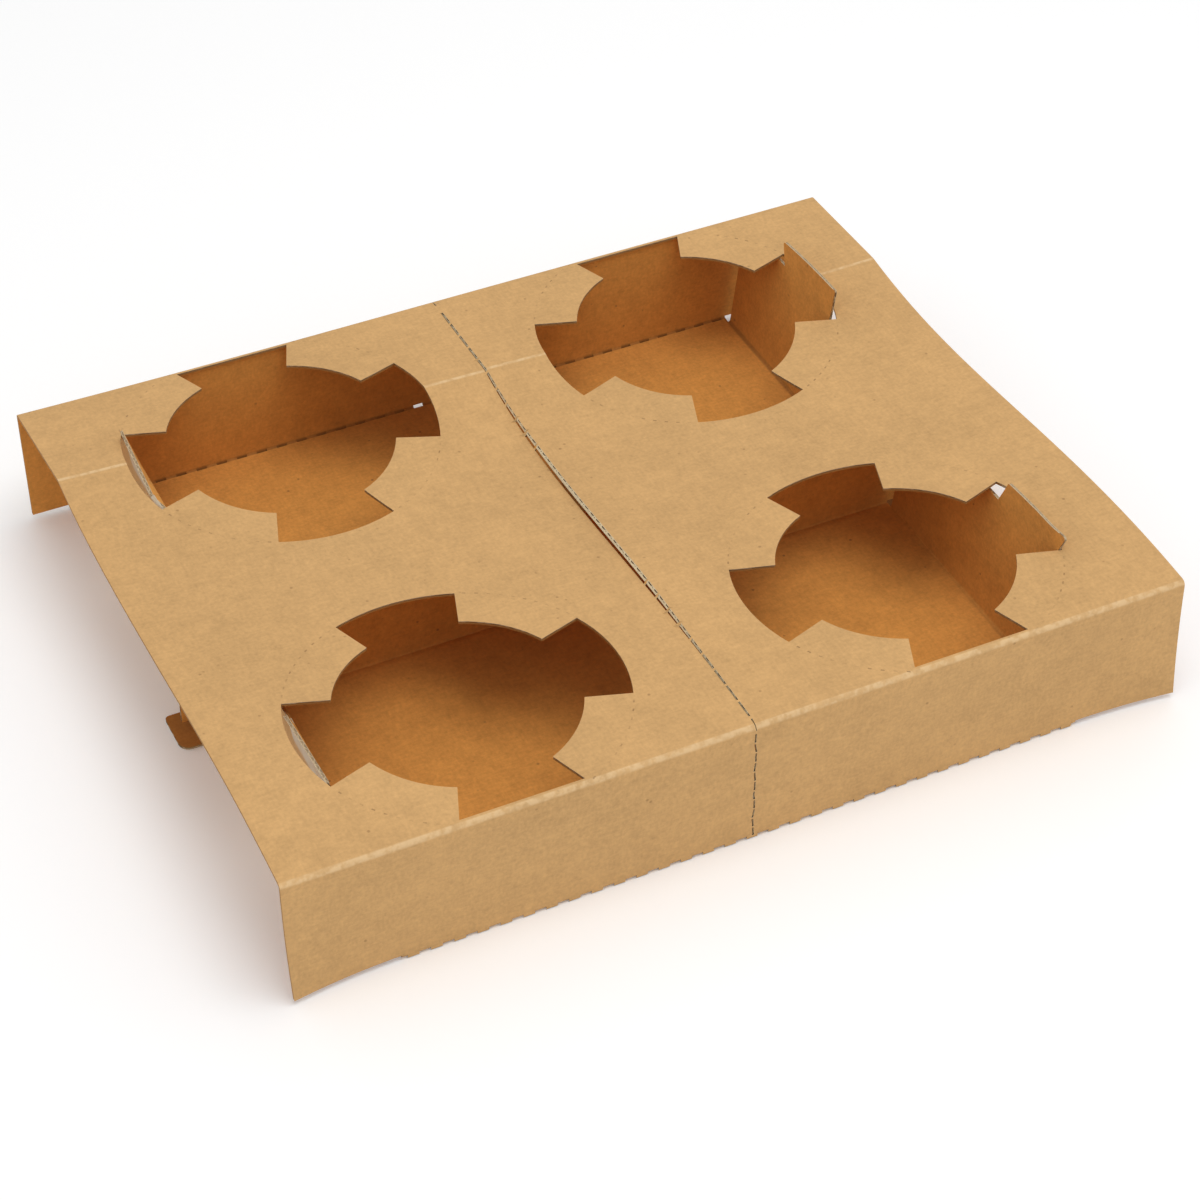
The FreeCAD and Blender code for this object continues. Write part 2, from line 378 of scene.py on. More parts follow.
def thicken(piece, materials):
    """Gives the sheet its thickness: outer liner, inner liner and cut edges have their own slots."""
    for material in materials:
        piece.data.materials.append(material)
    modifier = piece.modifiers.new("board", "SOLIDIFY")
    modifier.thickness = BOARD
    modifier.offset = -1.0
    modifier.use_even_offset = True
    modifier.material_offset = 1
    modifier.material_offset_rim = 2
    apply_modifiers(piece)


def hole_cutter(x, y, material):
    """A cutter for one cup hole: a round with four notches, stopped at the folds."""
    inner = math.asin(NOTCH_INNER / 2.0 / CUP_INNER)
    outer = math.asin(NOTCH_OUTER / 2.0 / CUP_OUTER)
    notch_points = 15
    round_points = 11
    quarter = notch_points + round_points
    low = TOP - 1.6 * MM
    height = 4.0 * MM
    bpy.ops.mesh.primitive_circle_add(vertices=4 * quarter, radius=CUP_OUTER, fill_type="NGON",
                                      location=(0.0, 0.0, 0.0))
    cutter = bpy.context.object
    open_edit(cutter, "VERT")
    mesh = bmesh.from_edit_mesh(cutter.data)
    mesh.verts.ensure_lookup_table()
    limit = PANEL_Y - 0.3 * MM
    for index, vertex in enumerate(mesh.verts):
        turn_by = math.pi / 2.0 * (index // quarter)
        step = index % quarter
        if step < notch_points:
            angle = -outer + 2.0 * outer * step / (notch_points - 1)
            radius = CUP_OUTER
        else:
            share = (step - notch_points) / (round_points - 1)
            angle = inner + (math.pi / 2.0 - 2.0 * inner) * share
            radius = CUP_INNER
        place_y = y + radius * math.sin(turn_by + angle)
        vertex.co = (x + radius * math.cos(turn_by + angle), max(-limit, min(limit, place_y)), low)
    bmesh.update_edit_mesh(cutter.data)
    bpy.ops.mesh.select_all(action="SELECT")
    pull((0.0, 0.0, height))
    bpy.ops.mesh.select_all(action="SELECT")
    bpy.ops.mesh.remove_doubles(threshold=1e-6)
    bpy.ops.mesh.normals_make_consistent(inside=False)
    close_edit()
    cutter.data.materials.append(material)
    return cutter


def slot_cutter(material, size, place, count=1, step=None):
    """A box, or a row of them, that cuts the slots of the perforation."""
    bpy.ops.mesh.primitive_cube_add(size=1.0, location=(0.0, 0.0, 0.0))
    cutter = bpy.context.object
    open_edit(cutter, "VERT")
    bpy.ops.mesh.select_all(action="SELECT")
    bpy.ops.transform.resize(value=size)
    bpy.ops.transform.translate(value=place)
    close_edit()
    cutter.data.materials.append(material)
    if count > 1:
        modifier = cutter.modifiers.new("row", "ARRAY")
        modifier.count = count
        modifier.use_relative_offset = False
        modifier.use_constant_offset = True
        modifier.constant_offset_displace = step
        apply_modifiers(cutter)
    return cutter


def cut(piece, cutters):
    """Cuts a piece with each cutter in turn, and clears the cutters away."""
    for cutter in cutters:
        modifier = piece.modifiers.new("cut", "BOOLEAN")
        modifier.operation = "DIFFERENCE"
        modifier.solver = "EXACT"
        modifier.material_mode = "TRANSFER"
        modifier.object = cutter
        apply_modifiers(piece)
        bpy.data.objects.remove(cutter)


def perforate(piece, material):
    """The perforation along the middle of the top and down both walls, torn open on the top."""
    pitch = 6.7 * MM
    nick = 0.8 * MM
    length = pitch - nick
    width = 0.3 * MM
    tall = 2.4 * MM
    level = TOP - BOARD - 0.08 * MM + tall / 2.0
    cutters = [slot_cutter(material, (width, TEAR_REAR - TEAR_FRONT, tall),
                           (0.0, (TEAR_REAR + TEAR_FRONT) / 2.0, level))]
    for facing, end in ((1, TEAR_REAR), (-1, TEAR_FRONT)):
        count = int((PANEL_Y - MM - facing * end) / pitch)
        first = end + facing * (nick + length / 2.0)
        cutters.append(slot_cutter(material, (width, length, tall), (0.0, first, level),
                                   count, (0.0, facing * pitch, 0.0)))
    wall_slot = (0.5 * MM, 4.0 * MM, FLUTE - 0.45 * MM)
    wall_slots = 11
    lowest = 0.6 * MM + FLUTE / 2.0
    fold_slot = (0.25 * MM, 3.4 * MM, 2.4 * MM)
    fold_y = HALF_DEPTH - 1.3 * MM
    fold_z = TOP - 0.6 * MM
    for facing in (-1, 1):
        cutters.append(slot_cutter(material, wall_slot, (0.0, facing * HALF_DEPTH, lowest),
                                   wall_slots, (0.0, 0.0, FLUTE)))
        cutters.append(slot_cutter(material, fold_slot, (0.0, facing * fold_y, fold_z)))
    cut(piece, cutters)


def crush_perforation(place):
    """Sideways move of the torn edges: the right half's face lies back, and the wall's cut wavers."""
    if abs(place.x) > 0.6 * MM:
        return 0.0
    if place.z > TOP - BOARD - 0.05 * MM and abs(place.y) < PANEL_Y - 0.4 * MM:
        if place.x < 0.0:
            return 0.0
        grows = smooth(-75.0 * MM, -35.0 * MM, place.y)
        fades = smooth(25.0 * MM, 45.0 * MM, place.y)
        slant = 0.3 + 0.4 * grows * (1.0 - fades)
        return slant * MM * smooth(TOP - BOARD, TOP - 0.1 * MM, place.z)
    if abs(place.y) > PANEL_Y and 0.5 * MM < place.z < TOP - FOLD:
        long_wave = 0.16 * MM * math.sin(place.z * 2.0 * math.pi / (9.1 * MM))
        short_wave = 0.12 * MM * math.sin(place.z * 2.0 * math.pi / (4.3 * MM))
        return long_wave + short_wave
    return 0.0


def groove_edges(piece, slot_index):
    """Lets the fluting between the two liners lie a little back along every cut edge."""
    liner_width = 0.2 * MM
    groove = 0.15 * MM
    open_edit(piece, "FACE")
    mesh = bmesh.from_edit_mesh(piece.data)
    for face in mesh.faces:
        face.select_set(face.material_index == slot_index)
    bmesh.update_edit_mesh(piece.data)
    bpy.ops.mesh.inset(thickness=liner_width, depth=0.0, use_boundary=True, use_even_offset=True)
    bpy.ops.mesh.extrude_region_shrink_fatten(TRANSFORM_OT_shrink_fatten={"value": -groove})
    close_edit()


def on_flap(place):
    """True on an end flap or its ear, before the board sags."""
    off_plane = abs(place.x) - HALF_FLOOR - FOLD - place.z * math.tan(LEAN)
    on_tab = LAP_Y < place.y < TAB_REAR_Y + 0.1 * MM and place.z < BOARD + 0.2 * MM
    return abs(place.x) > HALF_FLOOR + 0.2 * MM and abs(off_plane) < 3.0 * MM \
        and 1.5 * MM < abs(place.y) < PANEL_Y - 1.5 * MM \
        and place.z < EAR_START + 0.5 * MM and not on_tab


def depth_in_board(place):
    """How deep a place lies in the board, 0 at the outer liner and 1 at the inner one."""
    if place.z > TOP - BOARD - 0.02 * MM and abs(place.y) < PANEL_Y:
        depth = TOP - place.z
    elif abs(place.y) > PANEL_Y and place.z > 0.0:
        depth = HALF_DEPTH - abs(place.y)
    elif on_flap(place):
        outer = HALF_FLOOR + FOLD + (place.z - FOLD) * math.tan(LEAN)
        depth = outer - abs(place.x)
    elif abs(place.y) < 0.7 * MM and place.z > LAP_RISE + FOLD:
        depth = BOARD / 2.0 - place.y
    elif place.z > SHOULDER - MM:
        depth = place.z - (TOP - 2.0 * BOARD - FLANGE_GAP)
    else:
        depth = place.z
    return max(0.0, min(1.0, depth / BOARD))


def mark_depth(piece):
    """Keeps each point's depth in the board for the material of the cut edges."""
    layer = piece.data.attributes.new("depth", "FLOAT", "POINT")
    for index, vertex in enumerate(piece.data.vertices):
        layer.data[index].value = depth_in_board(vertex.co)


# The shape that the board has taken in use

# Heights at the left end, middle and right end of the top, in mm: how far it sags behind the
# middle, bulges before it, and stands up along the crease
SAG = (2.0, 6.0, 4.2)
BULGE = (2.0, 0.0, 1.6)
RIDGE = (2.6, -1.6, -1.4)

# A low swelling of the top beside its front left hole
SWELL = 1.1
SWELL_X = -102.0 * MM
SWELL_Y = -62.0 * MM
SWELL_REACH_X = 38.0 * MM
SWELL_REACH_Y = 30.0 * MM

# How far the top stands up along the perforation, right of it, left of it and in the cut, in mm,
# and how far from it that fades out
RIGHT_LIFT = 1.3
LEFT_LIFT = -0.5
CUT_LIFT = 0.3
LIFT_REACH = 26.0 * MM

# How far the walls' free ends spring outward, in mm: front wall, then rear, each left and right
FLARE = {(-1, -1): 2.7, (-1, 1): 2.2, (1, -1): 0.1, (1, 1): 1.2}

# For each ear, by side and cell: the heights of its front and rear ends, how far these two lean
# along Y, and how far the ear leans outward, in mm
EARS = {
    (-1, -1): (41.6, 38.8, 0.0, 3.0, 1.0),
    (-1, 1): (38.3, 43.9, 5.2, 2.0, 1.7),
    (1, -1): (44.9, 44.3, -3.0, -2.5, 0.8),
    (1, 1): (45.6, 43.8, -1.2, 2.4, 0.6),
}

# Where the ears' tips are before they are raised: between these distances along X, above this Z
EAR_BAND = (HALF_FLOOR + 3.0 * MM, HALF_FLOOR + 9.0 * MM)
EAR_FOOT = SHOULDER + 0.25 * MM

# The room inside a side notch, from the middle of its cup hole: start along X, half width, reach
ROOM_START = 38.8 * MM
ROOM_HALF = 17.2 * MM
ROOM_REACH = 44.9 * MM


def smooth(start, end, value):
    """Rises smoothly from 0 at the start to 1 at the end."""
    t = max(0.0, min(1.0, (value - start) / (end - start)))
    return t * t * (3.0 - 2.0 * t)


def across(left, centre, right, u):
    """Curves through three heights, at u of -1, 0 and 1."""
    return centre + (right - left) / 2.0 * u + ((right + left) / 2.0 - centre) * u * u


def rear_drop(x):
    """How much lower than the front the rear edge is: less at its left end."""
    return REAR_DROP - 0.9 * MM * max(0.0, -x / HALF_LENGTH) ** 3


def sagging(x, y):
    """How far the top has moved from flat: sag, bulge and ridge from end to end."""
    u = x / HALF_LENGTH
    if y > CREASE_Y:
        share = min(1.0, (y - CREASE_Y) / (PANEL_Y - CREASE_Y))
        return across(*RIDGE, u) * MM * (1.0 - share) - rear_drop(x) * share
    v = max(0.0, (y + PANEL_Y) / (CREASE_Y + PANEL_Y))
    peak = 0.75 ** 3 * 0.25
    falls = across(*SAG, u) * v ** 3 * (1.0 - v) / peak
    rises = across(*BULGE, u) * v * (1.0 - v) ** 3 / peak
    aside = ((x - SWELL_X) / SWELL_REACH_X) ** 2 + ((y - SWELL_Y) / SWELL_REACH_Y) ** 2
    swell = SWELL * math.exp(-aside)
    return (rises - falls + across(*RIDGE, u) * v ** 10 + swell) * MM


def torn_lift(x, y):
    """The right half stands a little proud along the perforation, and the left half hangs."""
    swell = smooth(-100.0 * MM, -25.0 * MM, y) * (1.0 - 0.75 * smooth(25.0 * MM, 75.0 * MM, y))
    swell *= 1.0 - smooth(92.0 * MM, 102.0 * MM, y)
    lift = RIGHT_LIFT if x > 0.05 * MM else (LEFT_LIFT if x < -0.05 * MM else CUT_LIFT)
    fade = 1.0 - smooth(0.0, LIFT_REACH, abs(x))
    return lift * MM * swell * fade


def in_ear(place):
    """True inside a side notch, where only the ear of an end flap is."""
    out = abs(place.x) - CUP_X
    off = abs(abs(place.y) - CUP_Y)
    return out > ROOM_START and off < ROOM_HALF and math.hypot(out, off) < ROOM_REACH \
        and place.z > EAR_FOOT and not on_rim(out, off, place.z)


def on_rim(out, off, z):
    """True on the cut edge of a notch in the top panel."""
    flank = NOTCH_INNER / 2.0 + (out - FLANK_START) / FLANK_LENGTH * FLANK_RISE
    return off > flank - 0.3 * MM and TOP - BOARD - 0.05 * MM < z < TOP + 0.05 * MM


def settle(place):
    """Upward move of a place on the sheet as the board sags, from its flat shape."""
    if in_ear(place):
        return 0.0
    if place.z > TOP - BOARD - 0.02 * MM and abs(place.y) <= PANEL_Y:
        return sagging(place.x, place.y) + torn_lift(place.x, place.y)
    if place.y > PANEL_Y - 0.1 * MM:
        return -rear_drop(place.x) * min(1.0, max(0.0, (place.z - FOLD) / (TOP - 2.0 * FOLD)))
    if on_flap(place):
        room = TOP + sagging(place.x, place.y) - BOARD - 0.5 * MM - SHOULDER
        return min(0.0, room) * min(1.0, place.z / SHOULDER)
    between = -BOARD < place.y < FLANGE_Y + MM and place.z > LAP_RISE + BOARD
    if between and abs(place.x) < HALF_PARTITION + MM and not on_flap(place):
        share = min(1.0, place.z / (TOP - 2.0 * BOARD - FLANGE_GAP))
        return sagging(place.x, place.y) * share - 0.35 * MM * share
    return 0.0


def spring_out(place):
    """The walls' free ends spring outward, and the walls are not quite flat."""
    if abs(place.y) < PANEL_Y - 0.1 * MM or place.z > TOP - FOLD:
        return 0.0
    facing = 1 if place.y > 0.0 else -1
    low = 1.0 - place.z / TOP
    end = max(0.0, (abs(place.x) - HALF_FLOOR) / (HALF_LENGTH - HALF_FLOOR))
    most = FLARE[facing, -1 if place.x < 0.0 else 1] * MM
    ripple = 0.35 * MM * math.sin(place.x / (31.0 * MM) + facing) * math.sin(math.pi * low)
    return facing * (most * end * end * low * low) + ripple


def raise_ears(piece):
    """Draws the ears up through the notches to their heights, and leans them as in use."""
    for (side, cell), (front, rear, front_lean, rear_lean, outward) in EARS.items():
        ear = cell * CUP_Y - EAR_BACK
        reach = EAR_HALF + MM

        def share(place):
            """Place along the ear, from 0 at its front end to 1, or None off the ear's tip."""
            inside = EAR_BAND[0] < side * place.x < EAR_BAND[1]
            if not inside or abs(place.y - ear) > reach \
                    or not EAR_FOOT < place.z < EAR_START + 0.3 * MM:
                return None
            return max(0.0, min(1.0, (place.y - ear + EAR_HALF) / (2.0 * EAR_HALF)))

        def rise(place):
            along = share(place)
            if along is None:
                return 0.0
            arch = 0.5 * math.sin(math.pi * along) if side > 0 else 0.0
            return (front + (rear - front) * along + arch) * MM - EAR_START

        def lean(place):
            along = share(place)
            return 0.0 if along is None else (front_lean + (rear_lean - front_lean) * along) * MM

        def spread(place):
            return 0.0 if share(place) is None else side * outward * MM

        shifts = [[move(v.co) for v in piece.data.vertices] for move in (spread, lean, rise)]
        for axis, moves in zip("XYZ", shifts):
            push_by(piece, axis, moves)


def build_sheet():
    """Folds the whole sheet, still without thickness and before its holes are cut."""
    piece = flat_top()
    fold_down(piece, 1)
    rear_floor(piece)
    fold_down(piece, -1)
    front_floor(piece)
    square_lugs(piece)
    for side in (-1, 1):
        for cell in (-1, 1):
            end_flap(piece, side, cell)
    close_edit()
    return piece


# Finishes: kraft paper and cut board. Colours are linear red, green, blue and alpha

LINER_TINT = (0.575, 0.340, 0.138, 1.0)
# The inner liner's tint, deeper orange than the outer one, is painted shade: the same paper as seen in
# the dim inside
INSIDE_SHADE_TINT = (0.63, 0.277, 0.059, 1.0)
SPECK = (0.16, 0.075, 0.03, 1.0)
# A paler crease line, and a painted highlight along the rounded upper folds
PALE_CREASE_AND_FOLD_HIGHLIGHT = (0.80, 0.58, 0.33, 1.0)
# Painted shade in the slits of the dotted lines round the cup holes
SLIT_SHADE = (0.14, 0.07, 0.03, 1.0)
GREY_TIP_TINT = (0.64, 0.56, 0.43, 1.0)
FOLD_SHADE = (0.13, 0.035, 0.008, 1.0)
OUTLINE = (0.50, 0.28, 0.11, 1.0)
EDGE_SHADE = (0.36, 0.165, 0.045, 1.0)
EDGE_PAPER = (0.52, 0.40, 0.25, 1.0)
# The two hollow colours are painted shade in the fluting's hollows, on cut and on torn edges
EDGE_HOLLOW_SHADE = (0.20, 0.12, 0.06, 1.0)
TORN_PAPER = (0.66, 0.55, 0.36, 1.0)
TORN_HOLLOW_SHADE = (0.10, 0.06, 0.03, 1.0)

# How high the paper's fibres and the fluting stand in the bumps of the finishes
PAPER_BUMP = 0.06 * MM
FLUTE_BUMP = 0.2 * MM

# Where the left ears are painted paler and greyer: outside this X, this far along Y, and fading in
# over these Z
TIP_X = -CUP_X - 36.6 * MM
TIP_HALF = 15.5 * MM
TIP_FADE = (TOP - 12.5 * MM, TOP - 8.5 * MM)

# Between which angles from the X axis each quarter of a cup hole has its dotted line
DOTS_FROM = math.radians(24.0)
DOTS_TO = math.radians(66.0)

def add(tree, kind, inputs=None, **settings):
    """Adds a shader node, sets its settings, and fills its inputs with values or sockets."""
    made = tree.nodes.new(kind)
    for name, value in settings.items():
        setattr(made, name, value)
    for socket, value in (inputs or {}).items():
        if isinstance(value, bpy.types.NodeSocket):
            tree.links.new(value, made.inputs[socket])
        else:
            made.inputs[socket].default_value = value
    return made


def calc(tree, operation, first, second=0.0, third=0.0, clamp=False):
    """Adds a sum on one, two or three values."""
    inputs = {0: first, 1: second}
    if operation == "MULTIPLY_ADD":
        inputs[2] = third
    return add(tree, "ShaderNodeMath", inputs, operation=operation, use_clamp=clamp).outputs[0]


def ramp(tree, value, low, high, to_low=0.0, to_high=1.0):
    """Maps a value smoothly between two limits."""
    inputs = {"Value": value, "From Min": low, "From Max": high, "To Min": to_low, "To Max": to_high}
    made = add(tree, "ShaderNodeMapRange", inputs, interpolation_type="SMOOTHSTEP")
    return made.outputs["Result"]


def mix(tree, share, first, second):
    """Mixes two colours by a share from 0 to 1. The colours go into sockets 6 and 7."""
    return add(tree, "ShaderNodeMix", {0: share, 6: first, 7: second}, data_type="RGBA").outputs[2]


def scaled(tree, colour, amount):
    """Makes a colour lighter or darker by a factor."""
    inputs = {0: colour, "Scale": amount}
    return add(tree, "ShaderNodeVectorMath", inputs, operation="SCALE").outputs[0]


def noise(tree, place, scale, detail=2.0, stretch=None):
    """Noise of a given number of features to the metre, stretched where asked."""
    vector = place
    if stretch:
        stretched = add(tree, "ShaderNodeVectorMath", {0: place, 1: stretch}, operation="MULTIPLY")
        vector = stretched.outputs[0]
    inputs = {"Vector": vector, "Scale": scale, "Detail": detail, "Roughness": 0.6}
    return add(tree, "ShaderNodeTexNoise", inputs).outputs["Fac"]


def new_group(name, inputs, outputs):
    """Starts a node group with named sockets, each with its kind and first value."""
    group = bpy.data.node_groups.new(name, "ShaderNodeTree")
    for socket, kind, value in inputs:
        made = group.interface.new_socket(name=socket, in_out="INPUT", socket_type=kind)
        if value is not None:
            made.default_value = value
    for socket, kind in outputs:
        group.interface.new_socket(name=socket, in_out="OUTPUT", socket_type=kind)
    return group, add(group, "NodeGroupInput"), add(group, "NodeGroupOutput")


def kraft_paper_group():
    """Recycled kraft paper: clouds, fibres both ways and a few dark specks."""
    group, given, result = new_group(
        "kraft_paper",
        [("Place", "NodeSocketVector", None), ("Tint", "NodeSocketColor", (0.6, 0.37, 0.16, 1.0)),
         ("Clouds", "NodeSocketFloat", 1.0), ("Specks", "NodeSocketFloat", 0.5)],
        [("Color", "NodeSocketColor"), ("Height", "NodeSocketFloat")])
    place = given.outputs["Place"]
    wide = noise(group, place, 38.0, 2.0)
    cloud = noise(group, place, 210.0, 3.0)
    grain = noise(group, place, 950.0, 2.0)
    fibre_x = noise(group, place, 900.0, 2.0, (0.22, 1.6, 1.6))
    fibre_y = noise(group, place, 900.0, 2.0, (1.6, 0.22, 0.6))
    parts = [(wide, 0.20), (cloud, 0.22), (grain, 0.30), (fibre_x, 0.13), (fibre_y, 0.13)]
    total = 0.0
    for value, weight in parts:
        offset = calc(group, "SUBTRACT", value, 0.5)
        total = calc(group, "MULTIPLY_ADD", offset, weight, total)
    strength = calc(group, "MULTIPLY", total, given.outputs["Clouds"])
    shade = calc(group, "MULTIPLY_ADD", strength, 1.15, 1.0)
    toned = scaled(group, given.outputs["Tint"], shade)
    cells = add(group, "ShaderNodeTexVoronoi", {"Vector": place, "Scale": 260.0, "Randomness": 1.0})
    dot = ramp(group, cells.outputs["Distance"], 0.16, 0.05)
    sparse = ramp(group, noise(group, place, 170.0, 1.0), 0.56, 0.66)
    speck = calc(group, "MULTIPLY", calc(group, "MULTIPLY", dot, sparse), given.outputs["Specks"])
    colour = mix(group, speck, toned, SPECK)
    group.links.new(colour, result.inputs["Color"])
    group.links.new(calc(group, "MULTIPLY_ADD", grain, 0.6, fibre_x), result.inputs["Height"])
    return group


def cut_flutes_group():
    """A cut edge of the board: two liners and the wave of the fluting between them, with painted shade
    in the hollows.
    """
    group, given, result = new_group(
        "cut_flutes",
        [("Place", "NodeSocketVector", None), ("Depth", "NodeSocketFloat", 0.5),
         ("Paper", "NodeSocketColor", (0.5, 0.38, 0.22, 1.0)),
         ("Hollow_Shade", "NodeSocketColor", (0.07, 0.035, 0.015, 1.0)),
         ("Crushed", "NodeSocketFloat", 0.0), ("Closed", "NodeSocketFloat", 0.0)],
        [("Color", "NodeSocketColor"), ("Height", "NodeSocketFloat")])
    axes = add(group, "ShaderNodeSeparateXYZ", {0: given.outputs["Place"]}).outputs
    ragged = calc(group, "MULTIPLY_ADD", noise(group, given.outputs["Place"], 700.0, 2.0), 1.2 * MM,
                  calc(group, "ADD", axes["Y"], axes["Z"]))
    wave = calc(group, "SINE", calc(group, "MULTIPLY", ragged, 2.0 * math.pi / FLUTE))
    line = calc(group, "MULTIPLY_ADD", wave, 0.36, 0.5)
    depth = given.outputs["Depth"]
    gap = calc(group, "ABSOLUTE", calc(group, "SUBTRACT", depth, line))
    fluting = ramp(group, gap, 0.26, 0.14)
    outer = ramp(group, depth, 0.2, 0.12)
    inner = ramp(group, depth, 0.8, 0.88)
    low = calc(group, "MULTIPLY", ramp(group, depth, 0.42, 0.55), given.outputs["Crushed"])
    liners = calc(group, "MAXIMUM", outer, inner)
    paper = calc(group, "MAXIMUM", calc(group, "MAXIMUM", fluting, low), liners)
    paper = calc(group, "MAXIMUM", paper, given.outputs["Closed"])
    speckle = noise(group, given.outputs["Place"], 1500.0, 2.0)
    shade = calc(group, "MULTIPLY_ADD", calc(group, "SUBTRACT", speckle, 0.5), 0.9, 1.0)
    toned = scaled(group, given.outputs["Paper"], shade)
    # Between the flutes the hollow colour is painted shade
    group.links.new(mix(group, paper, given.outputs["Hollow_Shade"], toned), result.inputs["Color"])
    group.links.new(paper, result.inputs["Height"])
    return group


def finish_material(tree, colour, height, distance, roughness):
    """Gives a material its colour, its roughness and its bumps."""
    shader = tree.nodes["Principled BSDF"]
    tree.links.new(colour, shader.inputs["Base Color"])
    shader.inputs["Roughness"].default_value = roughness
    shader.inputs["Specular IOR Level"].default_value = 0.25
    bump = add(tree, "ShaderNodeBump", {"Height": height, "Strength": 0.35, "Distance": distance})
    tree.links.new(bump.outputs[0], shader.inputs["Normal"])


def new_material(name):
    """Starts a material, and gives the place on the sheet that its patterns follow."""
    material = bpy.data.materials.new(name)
    material.use_nodes = True
    place = add(material.node_tree, "ShaderNodeTexCoord").outputs["Object"]
    return material, material.node_tree, place


def use_group(tree, group, inputs):
    """Puts a node group into a material."""
    return add(tree, "ShaderNodeGroup", inputs, node_tree=group)


def liner_material(paper):
    """
    The outer liner: a paler crease and a painted highlight along its upper folds, paler and greyer
    on the left ears, and a dotted line round each cup hole whose dark dashes are painted shade.
    """
    material, tree, place = new_material("kraft_liner")
    sheet_paper = use_group(tree, paper, {"Place": place, "Tint": LINER_TINT,
                                          "Clouds": 1.0, "Specks": 0.4})
    axes = add(tree, "ShaderNodeSeparateXYZ", {0: place}).outputs
    high = ramp(tree, axes["Z"], 30.0 * MM, 32.0 * MM)
    broken = ramp(tree, noise(tree, place, 420.0, 2.0), 0.36, 0.62, 0.35, 1.0)
    across_y = calc(tree, "ABSOLUTE", axes["Y"])
    out = calc(tree, "ABSOLUTE", calc(tree, "SUBTRACT", calc(tree, "ABSOLUTE", axes["X"]), CUP_X))
    off = calc(tree, "ABSOLUTE", calc(tree, "SUBTRACT", across_y, CUP_Y))
    radius = calc(tree, "SQRT", calc(tree, "MULTIPLY_ADD", out, out, calc(tree, "MULTIPLY", off, off)))
    within = calc(tree, "LESS_THAN", radius, CUP_OUTER - 0.3 * MM)
    crease = ramp(tree, calc(tree, "ABSOLUTE", calc(tree, "SUBTRACT", axes["Y"], CREASE_Y)),
                  0.75 * MM, 0.25 * MM)
    crease = calc(tree, "SUBTRACT", crease, within, clamp=True)
    # Painted highlight: a pale band along the rounded upper folds, joined with the paler crease
    fold = calc(tree, "MULTIPLY", ramp(tree, across_y, PANEL_Y + 0.1 * MM, PANEL_Y + 0.6 * MM),
                ramp(tree, axes["Z"], TOP - 1.7 * MM, TOP - 0.8 * MM))
    pale_crease_and_highlight = calc(tree, "MULTIPLY", calc(tree, "MAXIMUM", crease, fold), high)
    pale_crease_and_highlight = calc(tree, "MULTIPLY", pale_crease_and_highlight, broken)
    pale = mix(tree, calc(tree, "MULTIPLY", pale_crease_and_highlight, 0.55), sheet_paper.outputs["Color"], PALE_CREASE_AND_FOLD_HIGHLIGHT)
    angle = calc(tree, "ARCTAN2", off, out)
    ring = ramp(tree, calc(tree, "ABSOLUTE", calc(tree, "SUBTRACT", radius, CUP_OUTER)),
                0.30 * MM, 0.12 * MM)
    dash = calc(tree, "FRACT", calc(tree, "MULTIPLY", angle, CUP_OUTER / FLUTE))
    dash = calc(tree, "LESS_THAN", dash, 0.3)
    sector = calc(tree, "MULTIPLY", calc(tree, "GREATER_THAN", angle, DOTS_FROM),
                  calc(tree, "LESS_THAN", angle, DOTS_TO))
    dashes = calc(tree, "MULTIPLY", ring, dash)
    dotted = calc(tree, "MULTIPLY", dashes, calc(tree, "MULTIPLY", sector, high))
    patchy = ramp(tree, noise(tree, place, 95.0, 2.0), 0.42, 0.62, 0.12, 0.5)
    # The dotted line's dashes are painted dark: painted shade in slits that are not cut
    marked = mix(tree, calc(tree, "MULTIPLY", dotted, patchy), pale, SLIT_SHADE)
    tip = calc(tree, "MULTIPLY", within, calc(tree, "LESS_THAN", axes["X"], TIP_X))
    tip = calc(tree, "MULTIPLY", tip, calc(tree, "LESS_THAN", off, TIP_HALF))
    tip = calc(tree, "MULTIPLY", tip, ramp(tree, axes["Z"], *TIP_FADE))
    streaks = ramp(tree, noise(tree, place, 160.0, 2.0), 0.3, 0.6, 0.55, 0.95)
    # The left ears' tips are painted paler and greyer, in streaks
    grey_tip = calc(tree, "MULTIPLY", tip, streaks)
    colour = mix(tree, grey_tip, marked, GREY_TIP_TINT)
    height = calc(tree, "SUBTRACT", sheet_paper.outputs["Height"], calc(tree, "MULTIPLY", dotted, 2.0))
    finish_material(tree, colour, height, PAPER_BUMP, 0.82)
    return material


def inside_material(paper):
    """The inner liner: a deeper orange than outside as painted shade, more clouds and specks than
    outside, and painted shade along the lower folds.
    """
    material, tree, place = new_material("kraft_inside")
    # The deeper orange tint here is painted shade
    sheet_paper = use_group(tree, paper, {"Place": place, "Tint": INSIDE_SHADE_TINT,
                                          "Clouds": 1.25, "Specks": 0.6})
    axes = add(tree, "ShaderNodeSeparateXYZ", {0: place}).outputs
    # Painted shade in the valleys of the lower folds inside
    low = ramp(tree, axes["Z"], 1.9 * MM, 0.9 * MM)
    wall_fold = ramp(tree, calc(tree, "ABSOLUTE", axes["Y"]), PANEL_Y - 0.3 * MM, PANEL_Y + 0.2 * MM)
    flap_fold = ramp(tree, calc(tree, "ABSOLUTE", axes["X"]), HALF_FLOOR - 0.9 * MM, HALF_FLOOR)
    fold_shade_mask = calc(tree, "MULTIPLY", low, calc(tree, "MAXIMUM", wall_fold, flap_fold))
    colour = mix(tree, calc(tree, "MULTIPLY", fold_shade_mask, 0.5), sheet_paper.outputs["Color"], FOLD_SHADE)
    finish_material(tree, colour, sheet_paper.outputs["Height"], PAPER_BUMP, 0.85)
    return material


